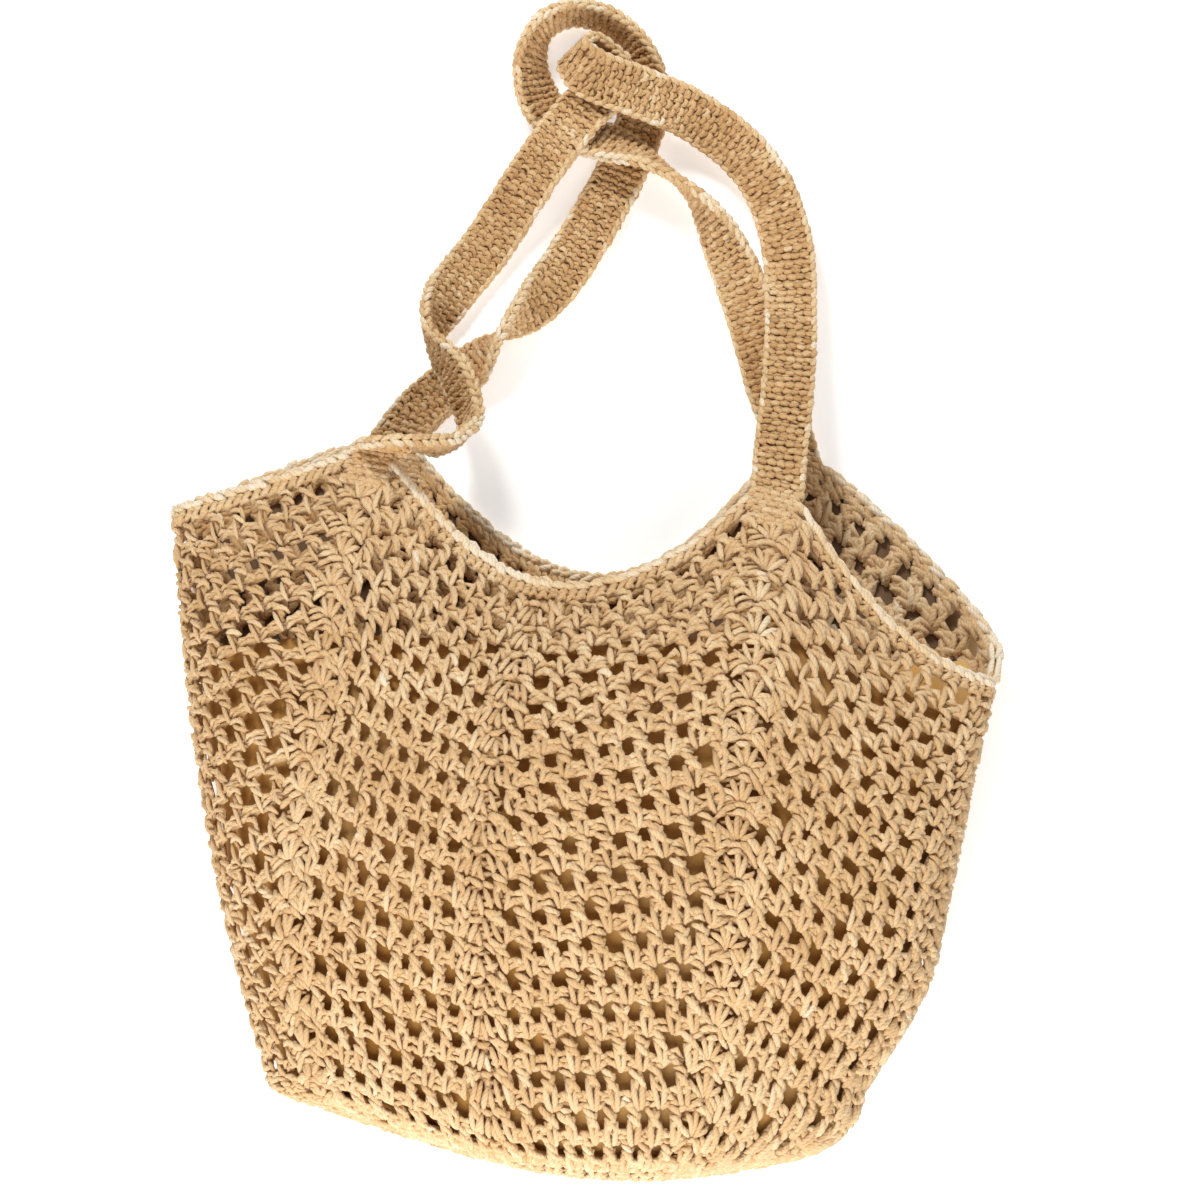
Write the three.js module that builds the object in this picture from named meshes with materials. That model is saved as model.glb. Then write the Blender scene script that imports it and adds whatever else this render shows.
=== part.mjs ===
// A crocheted cotton beach tote that lies on its back: a netted pouch, a rim band, two straps and a liner.
// Millimetres, +Z up. The bag's mouth looks along +Y and its back wall rests flat on z = 0.
import * as THREE from "three";

// Thicknesses and clearances
const NET_THICK = 4.5;
const RIB_RELIEF = 1.4; // the gathered stitches along each front spine stand out by this much
const RIM_THICK = 5.6;
const RIM_HEIGHT = 11;
const RIM_CORD = { starts: 0.6, fullest: 0.8 }; // shares of the band's height
const LINER_THICK = 1.2;
const STRAP_WIDTH = 25;
const STRAP_THICK = 4.5;
const STRAP_EDGE = 1.5; // bevel along a strap's edges
const SEAT_GAP = 0.35; // left between two pieces that are joined on the real bag
const UPRIGHT_ROOT = 3.9; // farther off, past half a strap's thickness, where a strap stands up from the rim
const LINER_GAP = { floor: 0.4, loose: 2.2 }; // the liner lies on the back wall and hangs free elsewhere

// The bag's box is centred on the part's origin by this shift of the plan
const CENTRE = { x: -7.58, y: 19.85 };

// Rings of the pouch from the base edge (v = 0) to the rim (v = 1): where its two sides lie,
// how high the front wall stands, and what share of each spine's drift shows there
const SECTIONS = [
  { leftX: -152, leftY: -227, rightX: 119, rightY: -234, crest: 62, drift: 1 },
  { leftX: -172, leftY: -163, rightX: 149, rightY: -190, crest: 82, drift: 0.82 },
  { leftX: -187, leftY: -95, rightX: 163, rightY: -143, crest: 86, drift: 0.55 },
  { leftX: -197, leftY: -29, rightX: 175, rightY: -97, crest: 78, drift: 0.27 },
  { leftX: -204, leftY: 35, rightX: 188, rightY: -50, crest: 58, drift: 0 },
];
const SIDE_HEIGHT = 23; // where the sides reach farthest out
const FRONT_FULLNESS = 0.84; // 1 is an ellipse, less is fuller
const BACK_FLAT = 0.84; // share of the half width that lies flat on the floor
const WALL_LENGTH = 265; // base edge to rim, along the wall
const LYING_FLAT = -0.999; // a wall whose outward way points down more than this rests on the floor

// The eight spines of stitches round the bag, as shares of its girth from the left side over the front,
// and how far each drifts round the bag on its way down to the base edge.
// A peak carries a strap end and rises above the valleys beside it. The rim of the panel that follows a spine
// runs straight between peak and valley where its curve is 1, is scooped where it is more and full where it is less.
const SPINES = [
  { name: "left", at: 0, drift: -0.055, rise: 0, curve: 1.3 },
  { name: "front left", at: 0.127, drift: -0.062, rise: 45, curve: 1.9 },
  { name: "front", at: 0.224, drift: -0.03, rise: 0, curve: 1.9 },
  { name: "front right", at: 0.36, drift: 0, rise: 67, curve: 2.3 },
  { name: "right", at: 0.488, drift: 0, rise: 0, curve: 0.62 },
  { name: "back right", at: 0.624, drift: -0.01, rise: 86, curve: 1.9 },
  { name: "back", at: 0.752, drift: -0.03, rise: 0, curve: 1.9 },
  { name: "back left", at: 0.86, drift: -0.055, rise: 48, curve: 1.1 },
];
const PANELS = SPINES.length;
const PEAK_FLAT = 0.1; // share of a panel that is level under a strap end
const LOW_CURVE = 1.15; // the rows run nearly straight low down, whatever the rim does
const FRONT_SAG = -5; // the front rim lies back from the sides
const BACK_REACH = 17; // the back rim lies beyond them

// The closed end
const BASE_BULGE = 41;
const BASE_INSET = 46; // the end seam is shorter than the base edge by this much a side
const BASE_SKEW = 0.24; // the end is fullest right of its middle
const BASE_ROUNDING = 0.45;
const BASE_RINGS = [0.94, 0.76, 0.52, 0.26]; // steps from the end seam (1) to the base edge (0)

// The open net: three columns and five rows of gaps in each panel
const GAP_COLUMNS = 3;
const GAP_ROWS = 5;
const COLUMN_MARGIN = 0.1;
const COLUMN_GAP = 0.2;
const COLUMN_BAR = 0.1;
const ROW_MARGIN = 0.055;
const ROW_GAP = 0.125;
const ROW_BAR = 0.055;

// The liner pouch stops at a straight hem below the rim
const LINER_TOP_Y = -28;
const LINER_SHARE = { lowest: 0.3, highest: 0.93 }; // of the wall, where its hem may lie
const HEM_HALVINGS = 24; // steps that close in on the hem
const LINER_ROWS = 7;

// Routes of the straps, with their roll about the route: 0 lies flat, 90 stands on edge
const FRONT_STRAP = [
  { x: -97, y: 67, z: 65, roll: 76 },
  { x: -84, y: 69, z: 57, roll: 75 },
  { x: -72, y: 74, z: 43, roll: 74 },
  { x: -63, y: 89, z: 28, roll: 68 },
  { x: -71, y: 114, z: 25, roll: 62 },
  { x: -84, y: 137, z: 18, roll: 94 },
  { x: -77, y: 158, z: 12, roll: 142 },
  { x: -55, y: 191, z: 7, roll: 172 },
  { x: -31, y: 227, z: 16, roll: 180 },
  { x: -12, y: 251, z: 24, roll: 180 },
  { x: 2, y: 268, z: 17, roll: 190 },
  { x: 9, y: 279, z: 16, roll: 238 },
  { x: 3, y: 288, z: 18, roll: 268 },
  { x: -7, y: 289, z: 23, roll: 274 },
  { x: -13, y: 281, z: 31, roll: 304 },
  { x: -4, y: 270, z: 33, roll: 334 },
  { x: 20, y: 262, z: 29, roll: 346 },
  { x: 50, y: 252, z: 18, roll: 338 },
  { x: 78, y: 228, z: 14, roll: 335 },
  { x: 92, y: 190, z: 18, roll: 345 },
  { x: 94, y: 146, z: 22, roll: 358 },
  { x: 91, y: 102, z: 34, roll: 360 },
  { x: 87, y: 72, z: 44, roll: 360 },
];
const BACK_STRAP = [
  { x: -88, y: 104, z: 4.3, roll: 8 },
  { x: -65, y: 124, z: 7, roll: 22 },
  { x: -46, y: 142, z: 14, roll: 88 },
  { x: -27, y: 163, z: 9, roll: 145 },
  { x: -5, y: 199, z: 4, roll: 176 },
  { x: 11, y: 231, z: 3, roll: 180 },
  { x: 20, y: 254, z: 3.5, roll: 182 },
  { x: 23, y: 271, z: 6, roll: 196 },
  { x: 20, y: 288, z: 12, roll: 236 },
  { x: 7, y: 305, z: 15, roll: 262 },
  { x: -12, y: 312, z: 15, roll: 270 },
  { x: -29, y: 304, z: 15, roll: 262 },
  { x: -35, y: 285, z: 12, roll: 236 },
  { x: -29, y: 264, z: 8.5, roll: 208 },
  { x: -15, y: 250, z: 9.5, roll: 204 },
  { x: 5, y: 240, z: 15.5, roll: 207 },
  { x: 25, y: 229, z: 19, roll: 238 },
  { x: 45, y: 214, z: 16, roll: 262 },
  { x: 60, y: 191, z: 12, roll: 306 },
  { x: 71, y: 165, z: 8, roll: 336 },
  { x: 79, y: 139, z: 5, roll: 350 },
  { x: 85, y: 116, z: 3.5, roll: 358 },
];
const STRAP_STEPS = 4; // cross-sections from one route point to the next

const YARN = { color: 0xecd0a4, roughness: 0.9, metalness: 0 };
const STRAP_YARN = { color: 0xe4c596, roughness: 0.9, metalness: 0 };
const LINER_CLOTH = { color: 0xb9905c, roughness: 0.95, metalness: 0 };

const clamp = THREE.MathUtils.clamp;
const lerp = THREE.MathUtils.lerp;

// A value at x along evenly spaced knots, smooth between them and straight beyond the last
function smoothValue(knots, x) {
  const last = knots.length - 1;
  const at = (i) => {
    if (i < 0) return 2 * knots[0] - knots[1];
    if (i > last) return 2 * knots[last] - knots[last - 1];
    return knots[i];
  };
  const k = clamp(Math.floor(x), 0, last - 1);
  const t = x - k;
  if (t > 1) return knots[last] + (knots[last] - knots[last - 1]) * (t - 1);
  const [a, b, c, d] = [at(k - 1), at(k), at(k + 1), at(k + 2)];
  return b + 0.5 * t * (c - a + t * (2 * a - 5 * b + 4 * c - d + t * (3 * (b - c) + d - a)));
}

function sectionAt(v) {
  const x = Math.max(v, 0) * (SECTIONS.length - 1);
  const column = (name) => smoothValue(SECTIONS.map((row) => row[name]), x);
  return Object.fromEntries(Object.keys(SECTIONS[0]).map((name) => [name, column(name)]));
}

// One ring of the pouch at an angle from the left side (0) over the front to the right side (pi) and under:
// how far across it lies (-1 to 1) and how high
function ringPoint(angle, crest) {
  const floor = NET_THICK / 2;
  const across = -Math.cos(angle);
  if (angle <= Math.PI) {
    const t = Math.sign(across) * Math.abs(across) ** FRONT_FULLNESS;
    return { t, z: SIDE_HEIGHT + (crest - SIDE_HEIGHT) * Math.sin(angle) ** FRONT_FULLNESS };
  }
  const beyond = Math.max(0, (Math.abs(across) - BACK_FLAT) / (1 - BACK_FLAT));
  return { t: across, z: floor + (SIDE_HEIGHT - floor) * (1 - Math.sqrt(1 - Math.min(1, beyond) ** 2)) };
}

// The point of a ring at a share of its girth, found by walking round it
const RING_STEPS = 240;
function ringAtShare(share, halfWidth, crest) {
  const ring = [];
  let girth = 0;
  for (let i = 0; i <= RING_STEPS; i++) {
    const p = ringPoint((2 * Math.PI * i) / RING_STEPS, crest);
    const before = ring[i - 1];
    if (before) girth += Math.hypot((p.t - before.t) * halfWidth, p.z - before.z);
    ring.push({ ...p, girth, front: i <= RING_STEPS / 2 });
  }
  const want = (share - Math.floor(share)) * girth;
  const i = Math.max(1, ring.findIndex((p) => p.girth >= want));
  const [a, b] = [ring[i - 1], ring[i]];
  const f = (want - a.girth) / (b.girth - a.girth || 1);
  return { t: lerp(a.t, b.t, f), z: lerp(a.z, b.z, f), front: b.front };
}

// The middle of the pouch's wall. u counts panels round the bag from the left side,
// v runs from the end seam (-1) over the base edge (0) to the rim (1) and past it.
function wallPoint(u, v) {
  const panel = Math.floor(u);
  const f = u - panel;
  const here = SPINES[((panel % PANELS) + PANELS) % PANELS];
  const next = SPINES[(((panel + 1) % PANELS) + PANELS) % PANELS];
  const section = sectionAt(v);
  const share = lerp(here.at, next.at || 1, f) + lerp(here.drift, next.drift, f) * section.drift;
  const halfWidth = (section.rightX - section.leftX) / 2;
  const { t, z, front } = ringAtShare(share, halfWidth, section.crest);

  const toPeak = here.rise ? 1 - f : f;
  const up = clamp(v, 0, 1);
  const level = clamp(toPeak / (1 - PEAK_FLAT * up), 0, 1);
  const rise = Math.max(here.rise, next.rise) * up * level ** lerp(LOW_CURVE, here.curve, up ** 2);
  const lean = (front ? FRONT_SAG : BACK_REACH) * up * (1 - t ** 4);

  const turn = (clamp(-v, 0, 1) * Math.PI) / 2;
  const shrink = Math.cos(turn);
  const reach = halfWidth - (1 - shrink) * BASE_INSET;
  const bulge = Math.sin(turn) * BASE_BULGE * (1 - BASE_ROUNDING * (t - BASE_SKEW) ** 2);
  const middle = (section.crest + NET_THICK / 2) / 2;
  return new THREE.Vector3(
    (section.leftX + section.rightX) / 2 + t * reach,
    lerp(section.leftY, section.rightY, (t + 1) / 2) + lean + rise - bulge,
    v < 0 ? middle + (z - middle) * shrink : z,
  );
}

// The way out of the wall. The rim band keeps that of the edge that it stands on.
const NORMAL_STEP = 0.004;
function wallNormal(u, v) {
  const step = NORMAL_STEP;
  const base = Math.min(v, 1 - step);
  const alongU = wallPoint(u + step, base).sub(wallPoint(u - step, base));
  const alongV = wallPoint(u, base + step).sub(wallPoint(u, base - step));
  return alongU.cross(alongV).normalize();
}

// A point beside the wall: positive is outwards
function wallOffset(u, v, distance) {
  return wallPoint(u, v).addScaledVector(wallNormal(u, v), distance);
}

function solidFrom(vertices, triangles) {
  const geometry = new THREE.BufferGeometry();
  geometry.setAttribute("position", new THREE.Float32BufferAttribute(vertices.flatMap((p) => [p.x, p.y, p.z]), 3));
  geometry.setIndex(triangles.flat());
  geometry.computeVertexNormals();
  return geometry;
}

// A wall that goes right round the bag, from a grid of outer and inner points.
// outer(i, j) and inner(i, j) give points, isGap(i, j) leaves a cell open, and a closed wall has an end seam at row 0.
function roundWall({ columns, rows, outer, inner, isGap = () => false, closed }) {
  const vertices = [];
  const index = { outer: [], inner: [] };
  for (let j = 0; j < rows; j++) {
    for (let i = 0; i < columns; i++) {
      index.outer.push(vertices.push(outer(i, j)) - 1);
      index.inner.push(vertices.push(inner(i, j)) - 1);
    }
  }
  const at = (side, i, j) => index[side][j * columns + (i % columns)];
  const triangles = [];
  const quad = (a, b, c, d) => triangles.push([a, b, c], [a, c, d]);
  const solid = (i, j) => j >= 0 && j < rows - 1 && !isGap((i + columns) % columns, j);
  for (let j = 0; j < rows - 1; j++) {
    for (let i = 0; i < columns; i++) {
      if (!solid(i, j)) continue;
      const corners = [[i, j], [i + 1, j], [i + 1, j + 1], [i, j + 1]];
      const beside = [[i, j - 1], [i + 1, j], [i, j + 1], [i - 1, j]];
      const [a, b, c, d] = corners.map(([x, y]) => at("outer", x, y));
      const [e, f, g, h] = corners.map(([x, y]) => at("inner", x, y));
      quad(a, b, c, d);
      quad(e, h, g, f);
      beside.forEach(([x, y], k) => {
        if (solid(x, y) || (closed && y < 0)) return;
        const [p, q] = [corners[k], corners[(k + 1) % 4]];
        const edge = [at("outer", ...q), at("outer", ...p), at("inner", ...p), at("inner", ...q)];
        if (k < 2) edge.push(edge.shift()); // edges that face each other are split alike
        quad(...edge);
      });
    }
  }
  if (closed) {
    for (const side of ["outer", "inner"]) {
      const seam = index[side].slice(0, columns).map((k) => vertices[k]);
      const middle = seam.reduce((sum, p) => sum.add(p), new THREE.Vector3()).divideScalar(columns);
      const hub = vertices.push(middle) - 1;
      for (let i = 0; i < columns; i++) {
        const [p, q] = [at(side, i, 0), at(side, i + 1, 0)];
        triangles.push(side === "outer" ? [q, p, hub] : [p, q, hub]);
      }
    }
  }
  return solidFrom(vertices, triangles);
}

// Grid lines of the net: a margin, then gaps with bars between them
function gapLines(margin, gap, bar, count) {
  const lines = [0];
  for (let k = 0; k < count; k++) {
    const start = margin + k * (gap + bar);
    lines.push(start, start + gap);
  }
  return lines;
}

const columnLines = gapLines(COLUMN_MARGIN, COLUMN_GAP, COLUMN_BAR, GAP_COLUMNS);
const perPanel = columnLines.length;
const uAt = (i) => Math.floor(i / perPanel) + columnLines[i % perPanel];

function netBody() {
  const wallLines = gapLines(ROW_MARGIN, ROW_GAP, ROW_BAR, GAP_ROWS);
  const rows = [...BASE_RINGS.map((step) => -step), ...wallLines, 1];
  const relief = (i, j) => {
    if (i % perPanel || rows[j] <= 0) return 0;
    return RIB_RELIEF * Math.max(0, wallNormal(uAt(i), rows[j]).z);
  };
  return roundWall({
    columns: PANELS * perPanel,
    rows: rows.length,
    outer: (i, j) => wallOffset(uAt(i), rows[j], NET_THICK / 2 + relief(i, j)),
    inner: (i, j) => wallOffset(uAt(i), rows[j], -NET_THICK / 2),
    isGap: (i, j) => {
      const row = j - BASE_RINGS.length;
      return i % perPanel % 2 === 1 && row > 0 && row % 2 === 1 && row < wallLines.length - 1;
    },
    closed: true,
  });
}

// The dense band along the mouth, thickest at its corded edge
function rimBand() {
  const start = 1 + SEAT_GAP / WALL_LENGTH;
  const end = start + RIM_HEIGHT / WALL_LENGTH;
  const steps = [
    { v: start, thick: NET_THICK },
    { v: lerp(start, end, RIM_CORD.starts), thick: NET_THICK },
    { v: lerp(start, end, RIM_CORD.fullest), thick: RIM_THICK },
    { v: end, thick: NET_THICK },
  ];
  const floorSide = (u, thick) => (wallNormal(u, 1).z < 0 ? NET_THICK : thick);
  return roundWall({
    columns: PANELS * perPanel,
    rows: steps.length,
    outer: (i, j) => wallOffset(uAt(i), steps[j].v, floorSide(uAt(i), steps[j].thick) / 2),
    inner: (i, j) => wallOffset(uAt(i), steps[j].v, -steps[j].thick / 2),
    closed: false,
  });
}

// The share of the wall that the liner covers: up to its straight hem, or short of the rim where that dips lower
function linerTop(u) {
  let { lowest: low, highest: high } = LINER_SHARE;
  if (wallPoint(u, high).y < LINER_TOP_Y) return high;
  for (let k = 0; k < HEM_HALVINGS; k++) {
    const v = (low + high) / 2;
    if (wallPoint(u, v).y < LINER_TOP_Y) low = v;
    else high = v;
  }
  return low;
}

function liner() {
  const columns = PANELS * perPanel;
  const tops = Array.from({ length: columns }, (_, i) => linerTop(uAt(i)));
  const inset = (u, v) => {
    const resting = wallNormal(u, v).z < LYING_FLAT;
    return NET_THICK / 2 + (resting ? LINER_GAP.floor : LINER_GAP.loose);
  };
  const vAt = (i, j) => {
    if (j < BASE_RINGS.length) return -BASE_RINGS[j];
    return (tops[i] * (j - BASE_RINGS.length)) / LINER_ROWS;
  };
  return roundWall({
    columns,
    rows: BASE_RINGS.length + LINER_ROWS + 1,
    outer: (i, j) => wallOffset(uAt(i), vAt(i, j), -inset(uAt(i), vAt(i, j))),
    inner: (i, j) => wallOffset(uAt(i), vAt(i, j), -inset(uAt(i), vAt(i, j)) - LINER_THICK),
    closed: true,
  });
}

// The axes of a strap's cross-section for a heading and a roll: across its width and through its thickness
function strapAxes(along, roll) {
  const side = new THREE.Vector3().crossVectors(along, new THREE.Vector3(0, 0, 1)).normalize();
  const wide = side.applyAxisAngle(along, -THREE.MathUtils.degToRad(roll));
  return { wide, thick: new THREE.Vector3().crossVectors(along, wide) };
}

// Where a strap meets the rim at a peak, for a strap that leaves it (1) or comes to it (-1): its end,
// the roll that lays it on the wall and the skew that lays its end along the rim
function strapRoot(u, heading, neighbour) {
  const clear = RIM_HEIGHT + SEAT_GAP * 2;
  const away = new THREE.Vector3().copy(neighbour).sub(wallPoint(u, 1 + clear / WALL_LENGTH)).normalize();
  const upright = Math.abs(away.dot(wallNormal(u, 1))); // 1 where the strap stands straight off the wall
  const top = 1 + (clear + upright * UPRIGHT_ROOT) / WALL_LENGTH;
  const seat = wallPoint(u, top);
  const along = new THREE.Vector3().copy(neighbour).sub(seat).multiplyScalar(heading).normalize();
  const alongRim = wallPoint(u + PEAK_FLAT / 2, top).sub(wallPoint(u - PEAK_FLAT / 2, top));
  const level = strapAxes(along, 0);
  const tilt = THREE.MathUtils.radToDeg(Math.atan2(-alongRim.dot(level.thick), alongRim.dot(level.wide)));
  const roll = tilt + 180 * Math.round((neighbour.roll - tilt) / 180);
  const { wide } = strapAxes(along, roll);
  return { seat, roll, skew: Math.atan(alongRim.dot(along) / alongRim.dot(wide)) };
}

// A strap starts and ends on two peaks of the rim and follows its route between them
function strap(startPeak, endPeak, route) {
  const first = strapRoot(startPeak, 1, route[0]);
  const last = strapRoot(endPeak, -1, route.at(-1));
  const points = [first.seat, ...route.map((p) => new THREE.Vector3(p.x, p.y, p.z)), last.seat];
  const rolls = [first.roll, ...route.map((p) => p.roll), last.roll];
  const skews = [first.skew, ...route.map(() => 0), last.skew];
  const path = new THREE.CatmullRomCurve3(points);
  const steps = (points.length - 1) * STRAP_STEPS;

  const [w, h] = [STRAP_WIDTH / 2, STRAP_THICK / 2];
  const profile = [
    [w, -h + STRAP_EDGE], [w, h - STRAP_EDGE], [w - STRAP_EDGE, h], [STRAP_EDGE - w, h],
    [-w, h - STRAP_EDGE], [-w, STRAP_EDGE - h], [STRAP_EDGE - w, -h], [w - STRAP_EDGE, -h],
  ];
  const vertices = [];
  for (let s = 0; s <= steps; s++) {
    const centre = path.getPoint(s / steps);
    const along = path.getTangent(s / steps);
    const { wide, thick } = strapAxes(along, smoothValue(rolls, s / STRAP_STEPS));
    wide.applyAxisAngle(thick, -smoothValue(skews, s / STRAP_STEPS));
    for (const [p, q] of profile) {
      vertices.push(centre.clone().addScaledVector(wide, p).addScaledVector(thick, q));
    }
  }
  const n = profile.length;
  const triangles = [];
  for (let s = 0; s < steps; s++) {
    for (let k = 0; k < n; k++) {
      const [a, b] = [s * n + k, s * n + ((k + 1) % n)];
      triangles.push([a, b, b + n], [a, b + n, a + n]);
    }
  }
  for (let k = 1; k < n - 1; k++) {
    const end = steps * n;
    triangles.push([0, k + 1, k], [end, end + k, end + k + 1]);
  }
  return solidFrom(vertices, triangles);
}

const lying = new THREE.Group();
lying.position.set(-CENTRE.x, -CENTRE.y, 0);

function addPiece(name, geometry, look) {
  const piece = new THREE.Mesh(geometry, new THREE.MeshStandardMaterial(look));
  piece.name = name;
  lying.add(piece);
}

addPiece("mesh_body", netBody(), YARN);
addPiece("rim_band", rimBand(), YARN);
addPiece("strap_front", strap(1, 3, FRONT_STRAP), STRAP_YARN);
addPiece("strap_back", strap(7, 5, BACK_STRAP), STRAP_YARN);
addPiece("liner", liner(), LINER_CLOTH);

const tote = new THREE.Group();
tote.add(lying);

export default tote;
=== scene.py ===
import math
import bpy
import numpy as np
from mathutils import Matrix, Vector


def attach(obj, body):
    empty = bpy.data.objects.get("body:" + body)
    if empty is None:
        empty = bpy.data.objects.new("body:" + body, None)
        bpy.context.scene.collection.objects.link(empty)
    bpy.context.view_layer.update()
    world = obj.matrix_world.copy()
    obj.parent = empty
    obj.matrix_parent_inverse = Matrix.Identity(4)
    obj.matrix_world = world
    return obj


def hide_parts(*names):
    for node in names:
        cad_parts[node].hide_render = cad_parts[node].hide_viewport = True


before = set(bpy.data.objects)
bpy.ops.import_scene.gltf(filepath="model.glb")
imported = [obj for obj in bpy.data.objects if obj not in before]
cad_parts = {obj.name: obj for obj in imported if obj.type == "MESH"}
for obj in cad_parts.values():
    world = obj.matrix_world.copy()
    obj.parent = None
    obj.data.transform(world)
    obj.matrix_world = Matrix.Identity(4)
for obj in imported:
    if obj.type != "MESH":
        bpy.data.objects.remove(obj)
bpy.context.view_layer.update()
rng = np.random.default_rng(21)  # seeded, so that every run lays the same yarn
mm = 0.001

# camera: nearly overhead, the mouth of the bag towards the top of the picture, which is "frame" metres across
view = {
    "target": (0.00758, -0.01985, 0.025), "elevation": 75, "distance": 1.5,
    "frame": 0.576, "sensor": 36,
}
tilt = math.radians(view["elevation"])
eye = Vector(view["target"]) + view["distance"] * Vector((0, -math.cos(tilt), math.sin(tilt)))
camera = bpy.data.objects.new("camera", bpy.data.cameras.new("camera"))
bpy.context.scene.collection.objects.link(camera)
camera.location = eye
camera.rotation_euler = (Vector(view["target"]) - eye).to_track_quat("-Z", "Y").to_euler()
camera.data.sensor_width = view["sensor"]
camera.data.lens = view["sensor"] * view["distance"] / view["frame"]
bpy.context.scene.camera = camera
print("camera set")

# the pouch's wall in mm on the plan, as the CAD has it
wall = {
    "thick": 4.5, "length": 265, "sideHeight": 23, "frontFullness": 0.84, "backFlat": 0.84,
    "peakFlat": 0.1, "curveLow": 1.15, "frontSag": -5, "backReach": 17,
    "baseBulge": 41, "baseInset": 46, "baseSkew": 0.24, "baseRounding": 0.45, "endLength": 56,
    "centre": (-7.58, 19.85, 0), "ringSteps": 240,
}
# rings from the base edge (v = 0) to the rim (v = 1)
sections = {
    "leftX": (-152, -172, -187, -197, -204),
    "leftY": (-227, -163, -95, -29, 35),
    "rightX": (119, 149, 163, 175, 188),
    "rightY": (-234, -190, -143, -97, -50),
    "crest": (62, 82, 86, 78, 58),
    "drift": (1, 0.82, 0.55, 0.27, 0),
}
# left, front left, front, front right, right, back right, back, back left
spineAt = np.array((0, 0.127, 0.224, 0.36, 0.488, 0.624, 0.752, 0.86))
spineRise = np.array((0, 45, 0, 67, 0, 86, 0, 48))
spineDrift = np.array((-0.055, -0.062, -0.03, 0, 0, -0.01, -0.03, -0.055))  # round the bag by the base edge
spineCurve = np.array((1.3, 1.9, 1.9, 2.3, 0.62, 1.9, 1.9, 1.1))  # rim of the panel after each spine
panels = len(spineAt)


def smoothValue(knots, x):
    knots = np.asarray(knots, float)
    ends = np.concatenate([[2 * knots[0] - knots[1]], knots, [2 * knots[-1] - knots[-2]]])
    k = np.clip(np.floor(x).astype(int), 0, len(knots) - 2)
    t = x - k
    a, b, c, d = (ends[k + i] for i in range(4))
    bent = b + 0.5 * t * (c - a + t * (2 * a - 5 * b + 4 * c - d + t * (3 * (b - c) + d - a)))
    return np.where(t > 1, c + (c - b) * (t - 1), bent)


def smoothPath(points, count):
    points = np.asarray(points, float)
    x = np.linspace(0, len(points) - 1, count)
    return np.stack([smoothValue(points[:, k], x) for k in range(points.shape[1])], axis=1)


def unit(vectors):
    return vectors / np.maximum(np.linalg.norm(vectors, axis=-1, keepdims=True), 1e-9)


def wallRow(us, v):
    knot = np.array(max(v, 0.0) * (len(sections["drift"]) - 1))
    s = {name: float(smoothValue(values, knot)) for name, values in sections.items()}
    half = (s["rightX"] - s["leftX"]) / 2
    floor = wall["thick"] / 2
    side = wall["sideHeight"]
    angle = np.linspace(0, 2 * np.pi, wall["ringSteps"] + 1)
    across = -np.cos(angle)
    front = angle <= np.pi
    full = wall["frontFullness"]
    ringT = np.where(front, np.sign(across) * np.abs(across) ** full, across)
    beyond = np.clip((np.abs(across) - wall["backFlat"]) / (1 - wall["backFlat"]), 0, 1)
    ringZ = np.where(front, side + (s["crest"] - side) * np.abs(np.sin(angle)) ** full,
                     floor + (side - floor) * (1 - np.sqrt(1 - beyond ** 2)))
    girth = np.concatenate([[0], np.cumsum(np.hypot(np.diff(ringT) * half, np.diff(ringZ)))])

    panel = np.floor(us).astype(int)
    f = us - panel
    here = panel % panels
    after = (here + 1) % panels
    nextAt = np.where(after == 0, 1, spineAt[after])
    drift = spineDrift[here] + (spineDrift[after] - spineDrift[here]) * f
    share = ((spineAt[here] + (nextAt - spineAt[here]) * f + drift * s["drift"]) % 1) * girth[-1]
    t = np.interp(share, girth, ringT)
    z = np.interp(share, girth, ringZ)
    isFront = share <= girth[wall["ringSteps"] // 2]

    up = min(max(v, 0), 1)
    toPeak = np.where(spineRise[here] > 0, 1 - f, f)
    level = np.clip(toPeak / (1 - wall["peakFlat"] * up), 0, 1)
    curve = wall["curveLow"] + (spineCurve[here] - wall["curveLow"]) * up ** 2
    rise = np.maximum(spineRise[here], spineRise[after]) * up * level ** curve
    lean = np.where(isFront, wall["frontSag"], wall["backReach"]) * up * (1 - t ** 4)
    turn = min(max(-v, 0), 1) * np.pi / 2
    reach = half - (1 - math.cos(turn)) * wall["baseInset"]
    bulge = math.sin(turn) * wall["baseBulge"] * (1 - wall["baseRounding"] * (t - wall["baseSkew"]) ** 2)
    middle = (s["crest"] + floor) / 2
    x = (s["leftX"] + s["rightX"]) / 2 + t * reach
    y = s["leftY"] + (s["rightY"] - s["leftY"]) * (t + 1) / 2 + lean + rise - bulge
    if v < 0:
        z = middle + (z - middle) * math.cos(turn)
    return np.stack([x, y, z], axis=1)


# the wall is worked out once on a fine grid and looked up from there
grid = {"perPanel": 48, "low": -1.0, "step": 0.01, "rows": 216}
gridU = np.arange(panels * grid["perPanel"]) / grid["perPanel"]
gridV = grid["low"] + grid["step"] * np.arange(grid["rows"])
wallPoints = np.stack([wallRow(gridU, v) for v in gridV])
alongU = np.roll(wallPoints, -1, axis=1) - np.roll(wallPoints, 1, axis=1)
alongV = np.gradient(wallPoints, axis=0)
wallNormals = unit(np.cross(alongU, alongV))
rimRow = int(round((1 - grid["low"]) / grid["step"])) - 1
wallNormals[rimRow:] = wallNormals[rimRow]
wallPoints = (wallPoints - np.array(wall["centre"])) * mm


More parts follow.
